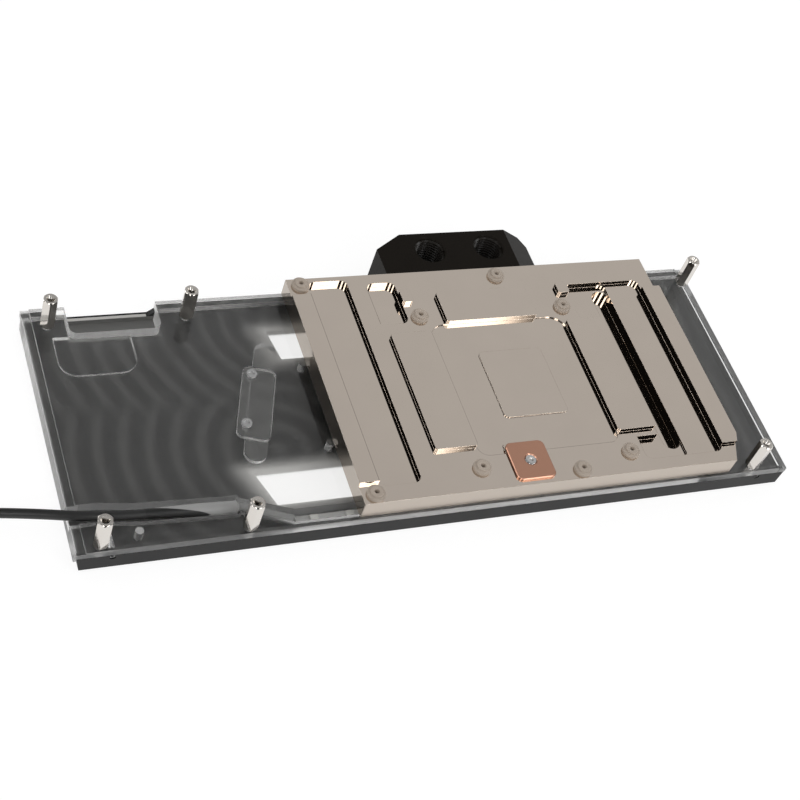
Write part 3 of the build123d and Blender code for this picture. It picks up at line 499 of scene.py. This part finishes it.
def blend_colour(tree, factor, first, second):
    # A colour between two, each given as a plain colour or a socket
    first, second = (colour if isinstance(colour, bpy.types.NodeSocket) else (*colour, 1.0)
                     for colour in (first, second))
    return add_node(tree, "Mix", {"data_type": "RGBA"}, i0=factor, i6=first, i7=second).outputs[2]


def mix_surface(tree, factor, first, second):
    # Two shaders mixed into what the surface shows
    both = add_node(tree, "MixShader", i0=factor, i1=first.outputs[0], i2=second.outputs[0])
    tree.links.new(both.outputs[0], tree.nodes["Material Output"].inputs["Surface"])


def add_bump(tree, shader, height, strength, distance, edge=0.0):
    # Bump on the shader, over rounded edges where an edge radius is given
    bump = add_node(tree, "Bump", Height=height, Strength=strength, Distance=distance)
    if edge:
        rounded = add_node(tree, "Bevel", {"samples": 4}, Radius=edge)
        tree.links.new(rounded.outputs["Normal"], bump.inputs["Normal"])
    tree.links.new(bump.outputs["Normal"], shader.inputs["Normal"])


def nickel_material(name, colour, low, high, edge, wall=None):
    # Milled and nickel plated metal, warm and silky, with faint clouds. With a wall's roughness it is the cold
    # plate's: smoother walls, a satin near side, painted shade on its near and left sides, and thin painted shade
    # lines at the pockets and round the core's field.
    material, tree, shader = new_material(name, colour, low, 1.0)
    grain = use_group(tree, fine_grain, Scale=1500.0, Stretch=(1.0, 0.08, 1.0))
    roughness = spread(tree, grain.outputs["Clouds"], low, high)
    tone = blend_colour(tree, grain.outputs["Clouds"], tuple(0.93 * part for part in colour), colour)
    if wall is not None:
        zones = use_group(tree, plate_zones).outputs
        roughness = maths(tree, "MULTIPLY_ADD", zones["Outside"], 0.3,
                          blend_number(tree, zones["Wall"], roughness, wall))
        # Painted shade: the left side and the near side of the plate darker
        shade = maths(tree, "MULTIPLY_ADD", zones["Left"], 0.65, maths(tree, "MULTIPLY", zones["Outside"], 0.45))
        tone = blend_colour(tree, shade, tone, tuple(0.4 * part for part in colour))
        # Painted shade: thin dark lines along the core field's edge and along the pockets' edges
        line = use_group(tree, painted_shade_outline, Low=on_plate(*core_field[0]), High=on_plate(*core_field[1]),
                         Radius=core_field_radius, Width=outline_half).outputs["Line"]
        for x, near, far in painted_shade_lines:
            pocket_shade_line = use_group(tree, box_mask, Low=on_plate(x - painted_shade_line_half, near, painted_shade_line_heights[0]),
                                  High=on_plate(x + painted_shade_line_half, far, painted_shade_line_heights[1]))
            line = maths(tree, "MAXIMUM", line, pocket_shade_line.outputs["Mask"])
        tone = blend_colour(tree, maths(tree, "MULTIPLY", line, 0.6), tone, (0.2, 0.175, 0.15))
    tree.links.new(roughness, shader.inputs["Roughness"])
    tree.links.new(tone, shader.inputs["Base Color"])
    add_bump(tree, shader, grain.outputs["Height"], 0.15, 0.01 * mm, edge)
    return material


def plastic_material(name, colour, roughness, grain_scale=2500.0, stretch=(1, 1, 1), bump=0.3, edge=0.0, **values):
    # Plastic or paint with fine grain, a little lighter and darker in places
    material, tree, shader = new_material(name, colour, roughness, **values)
    grain = use_group(tree, fine_grain, Scale=grain_scale, Stretch=stretch)
    darker = tuple(0.8 * part for part in colour)
    lighter = tuple(min(1.0, 1.15 * part) for part in colour)
    tree.links.new(blend_colour(tree, grain.outputs["Clouds"], darker, lighter), shader.inputs["Base Color"])
    tree.links.new(spread(tree, grain.outputs["Height"], roughness - 0.06, roughness + 0.08),
                   shader.inputs["Roughness"])
    add_bump(tree, shader, grain.outputs["Height"], bump, 0.02 * mm, edge)
    return material


def acrylic_material():
    # Clear acrylic, polished above and milled matt below, that lets the lamps' light through, tinted grey as painted
    # shade at its right end, that end's step and its inner walls
    material, tree, shader = new_material("clear acrylic", (0.98, 0.978, 0.97), 0.03, IOR=1.49,
                                          Transmission_Weight=1.0)
    zones = use_group(tree, acrylic_zones).outputs
    milled = spread(tree, zones["Wall"], 0.30, 0.50)
    sawn = maths(tree, "MULTIPLY_ADD", zones["Side"], 0.25, milled)
    tree.links.new(maths(tree, "MULTIPLY_ADD", zones["Top"], -0.27, sawn, clamp=True), shader.inputs["Roughness"])
    colour = (0.98, 0.978, 0.97)
    # Painted shade: the right end, its step and the inner walls tinted grey
    for zone, shade in (("End", (0.68, 0.69, 0.685)), ("Step", (0.3, 0.3, 0.3)), ("Inside", (0.45, 0.45, 0.445))):
        colour = blend_colour(tree, zones[zone], colour, shade)
    tree.links.new(colour, shader.inputs["Base Color"])
    clear = add_node(tree, "BsdfTransparent", Color=(0.94, 0.94, 0.93, 1.0))
    mix_surface(tree, add_node(tree, "LightPath").outputs["Is Shadow Ray"], shader, clear)
    return material


def cover_material():
    # Black anodised aluminium: soft arcs from the cutter, painted light round the windows, and painted light on the
    # notch's floor and lip
    material, tree, shader = new_material("black cover", (0.035, 0.035, 0.037), 0.42, Specular_IOR_Level=0.25)
    grain = use_group(tree, fine_grain, Scale=7000.0)
    near_set, far_set = (use_group(tree, cutter_arcs, Centre=on_board(x, y, 0.0), Pitch=pitch,
                                   Wobble=cover_arcs_wobble).outputs["Arcs"] for x, y, pitch in cover_arcs)
    start, end = (on_board(0, y, 0).y for y in cover_arcs_blend)
    arcs = blend_number(tree, ramp(tree, object_place(tree)["Y"], start, end, smooth=True), near_set, far_set)
    milled = maths(tree, "MULTIPLY", arcs, maths(tree, "GREATER_THAN", face_rise(tree), 0.5))
    colour = blend_colour(tree, milled, (0.006, 0.006, 0.006), (0.043, 0.043, 0.042))
    for left, slant, near, far in windows:
        window = use_group(tree, soft_window, Near=on_board(0, near, 0).y, Far=on_board(0, far, 0).y,
                           Left=on_board(left, 0, 0).x, Slant=slant / (far - near), Fade=painted_window_light_width)
        # Painted light: a pale glow painted onto the cover round each window
        painted_window_light = maths(tree, "MULTIPLY", window.outputs["Glow"], 0.8)
        colour = blend_colour(tree, painted_window_light, colour, (0.82, 0.815, 0.80))
    # Painted light: the notch's floor lighter and a painted highlight along its lip, each in its own colour
    for low, high, bare in notch_painted_light:
        place = use_group(tree, box_mask, Low=on_board(*low), High=on_board(*high))
        colour = blend_colour(tree, place.outputs["Mask"], colour, bare)
    tree.links.new(colour, shader.inputs["Base Color"])
    tree.links.new(spread(tree, grain.outputs["Clouds"], 0.36, 0.5), shader.inputs["Roughness"])
    add_bump(tree, shader, grain.outputs["Height"], 0.1, 0.01 * mm, 0.2 * mm)
    return material


def sleeve_material():
    # Grey shrink sleeve, black below a slanted line along its near side
    material, tree, shader = new_material("grey sleeve", (0.40, 0.40, 0.395), 0.42)
    grain = use_group(tree, fine_grain, Scale=2500.0)
    place = object_place(tree)
    start = on_board(*sleeve_line_start, 0)
    along = maths(tree, "MULTIPLY_ADD", maths(tree, "SUBTRACT", place["X"], start.x), sleeve_line_slope, start.y)
    grey = ramp(tree, maths(tree, "SUBTRACT", place["Y"], along), -0.1 * mm, 0.1 * mm)
    shade = blend_colour(tree, grain.outputs["Clouds"], (0.30, 0.30, 0.295), (0.42, 0.42, 0.415))
    tree.links.new(blend_colour(tree, grey, (0.01, 0.01, 0.01), shade), shader.inputs["Base Color"])
    add_bump(tree, shader, grain.outputs["Height"], 0.3, 0.02 * mm)
    return material


nickel = nickel_material("nickel plated copper", (0.755, 0.665, 0.580), 0.045, 0.075, 0.2 * mm, wall=0.03)
bright_nickel = nickel_material("bright nickel", (0.72, 0.685, 0.64), 0.08, 0.14, 0.05 * mm)
steel = nickel_material("zinc plated steel", (0.66, 0.66, 0.66), 0.22, 0.34, 0.05 * mm)
bright_steel = nickel_material("bright steel", (0.74, 0.73, 0.72), 0.14, 0.26, 0.04 * mm)
copper = nickel_material("bare copper", (0.69, 0.375, 0.262), 0.26, 0.40, 0.1 * mm)
acrylic = acrylic_material()
black_cover = cover_material()
black_acetal = plastic_material("black acetal", (0.011, 0.009, 0.007), 0.38, 1800.0, (0.02, 1.0, 1.0), 1.0,
                                0.2 * mm, IOR=1.15, Specular_IOR_Level=0.4)
# Painted glints: the port threads' acetal is lighter than the block's, so that its ridges show as glints
acetal_with_painted_glints = plastic_material("acetal with painted glints", (0.016, 0.014, 0.012), 0.22, IOR=1.35)
rubber = plastic_material("black rubber", (0.02, 0.02, 0.02), 0.6)
beige = plastic_material("beige plastic", (0.50, 0.425, 0.355), 0.5, 3000.0)
strip_board = plastic_material("light strip", (0.42, 0.42, 0.41), 0.4)
lamp_plastic = plastic_material("lamp plastic", (0.55, 0.55, 0.52), 0.25)
grey_sleeve = sleeve_material()
grey_lead = plastic_material("grey lead", (0.26, 0.26, 0.255), 0.42)
black_cable = plastic_material("black cable", (0.02, 0.02, 0.02), 0.36, 1800.0)
black_plug = plastic_material("black plug", (0.03, 0.03, 0.03), 0.45)
black_tie = plastic_material("black tie", (0.025, 0.025, 0.025), 0.4)

node_materials = {
    "front_cover": black_cover, "acrylic_body": acrylic, "cold_plate": nickel, "jet_plate": steel,
    "main_seal": rubber, "port_block": black_acetal, "port_gaskets": rubber, "port_block_screws": steel,
    "plate_screws": steel, "cover_screws": steel, "side_screws": steel, "standoffs": bright_nickel,
    "insulating_washers": beige, "copper_pad": copper, "copper_pad_screw": steel, "light_bar": acrylic,
    "light_bar_screws": steel, "light_strip": strip_board, "lamps": lamp_plastic, "cable_sleeve": grey_sleeve,
    "strip_lead": grey_lead, "led_cable": black_cable, "led_cable_coil": black_cable,
    "led_cable_tail": black_cable, "led_plug": black_plug, "cable_ties": black_tie,
}


def dress_nodes():
    # Each node of the model gets its own material
    for name, material in node_materials.items():
        for place in nodes[name].material_slots:
            place.link = "OBJECT"
            place.material = material


# Pieces

def make_standoffs():
    # Hexagonal posts with turned crowns, a threaded hole and a threaded stud
    corner = standoff_flats / 2 / cos(pi / 6)
    crown = 0.55 * mm
    hexagon = lathe([(0, 0), (corner, 0), (corner, standoff_height), (0, standoff_height)], 6)
    barrel = lathe([(0, 0), (standoff_flats / 2, 0), (corner * 1.02, crown),
                    (corner * 1.02, standoff_height - crown), (standoff_flats / 2 - 0.1 * mm, standoff_height),
                    (0, standoff_height)], 72)
    post = combine(hexagon, barrel, "INTERSECT")
    low = standoff_height - standoff_bore_depth
    hole = lathe([(0, low)] + threaded(standoff_bore / 2, 0.2 * mm, low, standoff_height - 0.5 * mm,
                                       small_thread_pitch)
                 + [(standoff_bore / 2 + 0.45 * mm, standoff_height + 0.1 * mm), (0, standoff_height + 0.1 * mm)], 36)
    post = combine(post, hole, "DIFFERENCE")
    stud = lathe([(0, -standoff_stud_length)]
                 + threaded(standoff_stud / 2 - 0.25 * mm, 0.25 * mm, -standoff_stud_length, 0.5 * mm,
                            small_thread_pitch)
                 + [(0, 0.5 * mm)], 36)
    post = combine(post, stud, "UNION")
    places = [on_board(x, y, board_top) for x, y in standoff_places]
    mesh = repeat(post, "threaded_standoffs", places, standoff_turn)
    smooth_by_angle(mesh)
    piece = add_object("threaded_standoffs", mesh, bright_nickel)
    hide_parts("standoffs")


def make_washers():
    # Moulded washers with a collar, a soft edge and a moulded hole
    soft = 0.25 * mm
    profile = [(washer_hole, 0.0), (washer_radius, 0.0), (washer_radius, washer_base - soft),
               (washer_radius - 0.3 * soft, washer_base - 0.3 * soft), (washer_radius - soft, washer_base),
               (washer_collar_radius + 0.2 * mm, washer_base), (washer_collar_radius, washer_base + 0.15 * mm),
               (washer_collar_radius, washer_height - soft),
               (washer_collar_radius - 0.3 * soft, washer_height - 0.3 * soft),
               (washer_collar_radius - soft, washer_height), (washer_hole + soft, washer_height),
               (washer_hole, washer_height - soft), (washer_hole, 0.0)]
    mesh = repeat(lathe(profile, 56), "moulded_washers", [on_board(x, y, plate_top) for x, y in washer_places])
    smooth_by_angle(mesh, radians(50))
    piece = add_object("moulded_washers", mesh, beige)
    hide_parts("insulating_washers")


def make_pad_screw():
    # The copper pad's screw: a low round head with a soft edge, a turned ring and a deep hexagonal socket
    head = pad_screw_radius
    top = pad_high.z - 0.05 * mm
    profile = [(0, -1.05 * mm), (0.55 * head, -1.05 * mm), (0.97 * head, -0.42 * mm), (head, -0.3 * mm),
               (head, -0.2 * mm), (0.95 * head, -0.07 * mm), (0.84 * head, 0.0), (0.62 * head, 0.0),
               (0.60 * head, -0.06 * mm), (0, -0.06 * mm)]
    body = lathe([(radius, top + height) for radius, height in profile], 64)
    socket = lathe([(0, top - 0.85 * mm), (0.30 * head, top - 0.7 * mm), (0.46 * head, top - 0.65 * mm),
                    (0.46 * head, top - 0.12 * mm), (0.54 * head, top + 0.1 * mm), (0, top + 0.1 * mm)], 6)
    body = combine(body, socket, "DIFFERENCE")
    centre = (pad_low + pad_high) / 2
    mesh = repeat(body, "socket_screw", [Vector((centre.x, centre.y, 0))], radians(20))
    smooth_by_angle(mesh)
    piece = add_object("socket_screw", mesh, bright_steel)
    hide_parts("copper_pad_screw")


def make_port_threads():
    # The thread of each port as one ridge that winds down the bore
    steps = 48
    shape = bmesh.new()
    for x, y in port_places:
        centre = on_board(x, y, port_high.z - port_thread_start)
        rows = []
        for n in range(port_thread_turns * steps + 1):
            angle = 2 * pi * n / steps
            drop = -port_thread_pitch * n / steps
            row = []
            for radius, rise in ((port_radius, port_thread_root), (port_thread_inner, port_thread_crest),
                                 (port_thread_inner, -port_thread_crest), (port_radius, -port_thread_root)):
                row.append(shape.verts.new(centre + Vector((radius * cos(angle), radius * sin(angle),
                                                            drop + rise * port_thread_pitch))))
            rows.append(row)
        for before, after in zip(rows, rows[1:]):
            for n in range(4):
                m = (n + 1) % 4
                shape.faces.new((before[n], before[m], after[m], after[n]))
        shape.faces.new(rows[0])
        shape.faces.new(reversed(rows[-1]))
    bmesh.ops.recalc_face_normals(shape, faces=shape.faces)
    mesh = bpy.data.meshes.new("port_threads")
    shape.to_mesh(mesh)
    shape.free()
    smooth_by_angle(mesh)
    # The threads take the lighter acetal with painted glints
    add_object("port_threads", mesh, acetal_with_painted_glints)


def make_cable():
    # The light cable: out of its channel, down to the table, a tied coil of the spare length, and the plug
    height = board_top - cable_depth
    floor_height = cable_radius + coil_lift
    route = [
        on_board(27.0, 14.3, height),
        on_board(11.0, 15.05, height),
        on_board(-13.0, 20.5, height - 0.5 * mm),
        on_board(-36.0, 27.0, height - 5.2 * mm),
        on_board(-58.0, 31.0, floor_height),
        on_board(-76.0, 31.0, floor_height),
    ]
    centre = route[-1] + Vector((-stub_length, -(coil_diameter + cable_diameter) / 2, 0))
    count = int(coil_turns * coil_points_per_turn)
    coil = []
    for n in range(count + 1):
        share = n / count
        angle = pi / 2 + 2 * pi * coil_turns * share
        radius = (coil_diameter + cable_diameter * (1 - 2 * (share * coil_turns % 2 >= 1))) / 2
        coil.append(centre + Vector((radius * cos(angle), radius * sin(angle),
                                     cable_diameter * (share > 0.5))))
    end = centre + Vector((stub_length, -(coil_diameter + cable_diameter) / 2, 0))
    tail = [end, end + Vector((11.0 * mm, 0, 0)), end + Vector((23.0 * mm, -2.6 * mm, 0))]
    points = route + coil + tail
    line = bpy.data.curves.new("light_cable", "CURVE")
    line.dimensions = "3D"
    line.bevel_depth = cable_radius
    line.bevel_resolution = 6
    line.resolution_u = 6
    line.use_fill_caps = True
    spline = line.splines.new("NURBS")
    spline.points.add(len(points) - 1)
    for place, target in zip(spline.points, points):
        place.co = (*target, 1.0)
    spline.order_u = 3
    spline.use_endpoint_u = True
    piece = add_object("light_cable", line, black_cable)
    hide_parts("led_cable", "led_cable_coil", "led_cable_tail")


def make_floor():
    # A plain pale floor that shows white to the camera and in metal and glass
    mesh = bpy.data.meshes.new("floor")
    corners = [(x * floor_reach, y * floor_reach, -0.3 * mm) for x, y in ((-1, -1), (1, -1), (1, 1), (-1, 1))]
    mesh.from_pydata(corners, [], [(0, 1, 2, 3)])
    floor = bpy.data.objects.new("floor", mesh)
    bpy.context.collection.objects.link(floor)
    material, tree, shader = new_material("pale floor", (0.85, 0.85, 0.85), 0.7)
    glow = add_node(tree, "Emission", Color=(1.0, 1.0, 1.0, 1.0), Strength=floor_glow)
    path = add_node(tree, "LightPath").outputs
    seen = maths(tree, "ADD", path["Is Camera Ray"],
                 maths(tree, "ADD", path["Is Glossy Ray"], path["Is Transmission Ray"]), clamp=True)
    mix_surface(tree, maths(tree, "MULTIPLY", seen, 0.8), shader, glow)
    mesh.materials.append(material)


def make_world():
    # A dark studio for metal, with a broad reflector over the far right, strip lights in front, a low glow all
    # round and a faint one overhead. Matt surfaces and glass see an even sky, and the camera sees white.
    world = bpy.data.worlds.new("studio")
    bpy.context.scene.world = world
    world.use_nodes = True
    tree = world.node_tree
    outward = add_node(tree, "TexCoord").outputs["Generated"]
    place = add_node(tree, "SeparateXYZ", Vector=outward).outputs
    rearward = maths(tree, "ADD", place["X"], place["Y"])

    towards = add_node(tree, "VectorMath", {"operation": "DOT_PRODUCT"}, i0=outward,
                       i1=Vector(reflector_towards).normalized())
    reflector = ramp(tree, towards.outputs["Value"], 0.82, 1.0, smooth=True)

    turn = maths(tree, "MULTIPLY_ADD", maths(tree, "ARCTAN2", place["Y"], place["X"]), strip_count, strip_turn)
    strips = ramp(tree, maths(tree, "SINE", turn), 0.3, 0.5, smooth=True)
    band = maths(tree, "MULTIPLY", ramp(tree, place["Z"], 0.45, 0.55), ramp(tree, place["Z"], 0.90, 0.84))
    front_band = maths(tree, "MULTIPLY", ramp(tree, place["Y"], 0.2, 0.1), band)
    strip_lights = maths(tree, "MULTIPLY", maths(tree, "MULTIPLY", strips, front_band), strip_level)

    low_glow = maths(tree, "MULTIPLY", ramp(tree, place["Z"], low_glow_height, 0.18, smooth=True),
                     spread(tree, ramp(tree, rearward, -0.1, 0.3), low_glow_front, low_glow_behind))
    waist = maths(tree, "MULTIPLY", ramp(tree, rearward, 0.35, 0.05),
                  ramp(tree, place["Z"], 0.60, 0.42, smooth=True))
    back_glow = maths(tree, "MULTIPLY", waist, back_glow_level)
    overhead = maths(tree, "MULTIPLY", ramp(tree, place["Z"], 0.92, 0.98, smooth=True), overhead_level)
    glow = maths(tree, "MAXIMUM", maths(tree, "MAXIMUM", low_glow, back_glow), overhead)
    metal_sky = maths(tree, "ADD", spread(tree, reflector, dark_sky, reflector_level),
                      maths(tree, "MAXIMUM", glow, strip_lights))

    path = add_node(tree, "LightPath").outputs
    even = maths(tree, "MAXIMUM", path["Is Diffuse Ray"], path["Is Transmission Ray"])
    low = ramp(tree, place["Z"], 0.45, 0.1, smooth=True)
    white = maths(tree, "MAXIMUM", path["Is Camera Ray"], maths(tree, "MULTIPLY", path["Is Transmission Ray"], low))
    level = blend_number(tree, white, blend_number(tree, even, metal_sky, soft_sky), 1.0)
    background = tree.nodes["Background"]
    tree.links.new(level, background.inputs["Strength"])
    background.inputs["Color"].default_value = (1, 1, 1, 1)


def add_softbox(name, place, power):
    # A soft lamp that shines on the middle of the block
    lamp = bpy.data.lights.new(name, "AREA")
    lamp.shape = "RECTANGLE"
    lamp.size, lamp.size_y = softbox_size
    lamp.energy = power
    softbox = bpy.data.objects.new(name, lamp)
    bpy.context.collection.objects.link(softbox)
    softbox.location = place
    softbox.rotation_mode = "QUATERNION"
    softbox.rotation_quaternion = (-Vector(place)).to_track_quat("-Z", "Y")


def add_camera():
    # The camera that took the photograph, as found from the board's corners
    camera = bpy.data.objects.new("camera", bpy.data.cameras.new("camera"))
    bpy.context.collection.objects.link(camera)
    camera.data.lens = camera_lens
    camera.data.sensor_width = 36.0
    camera.data.clip_start = 0.01
    camera.location = camera_place
    camera.rotation_mode = "QUATERNION"
    look = (camera_aim - camera_place).to_track_quat("-Z", "Y")
    camera.rotation_quaternion = look @ Quaternion((0, 0, 1), camera_roll)
    bpy.context.scene.camera = camera


add_camera()
make_cable()
dress_nodes()
make_standoffs()
make_washers()
make_pad_screw()
make_port_threads()
make_floor()
make_world()
add_softbox("far light", far_light, far_power)
add_softbox("near light", near_light, near_power)
bpy.context.scene.view_settings.view_transform = "Standard"
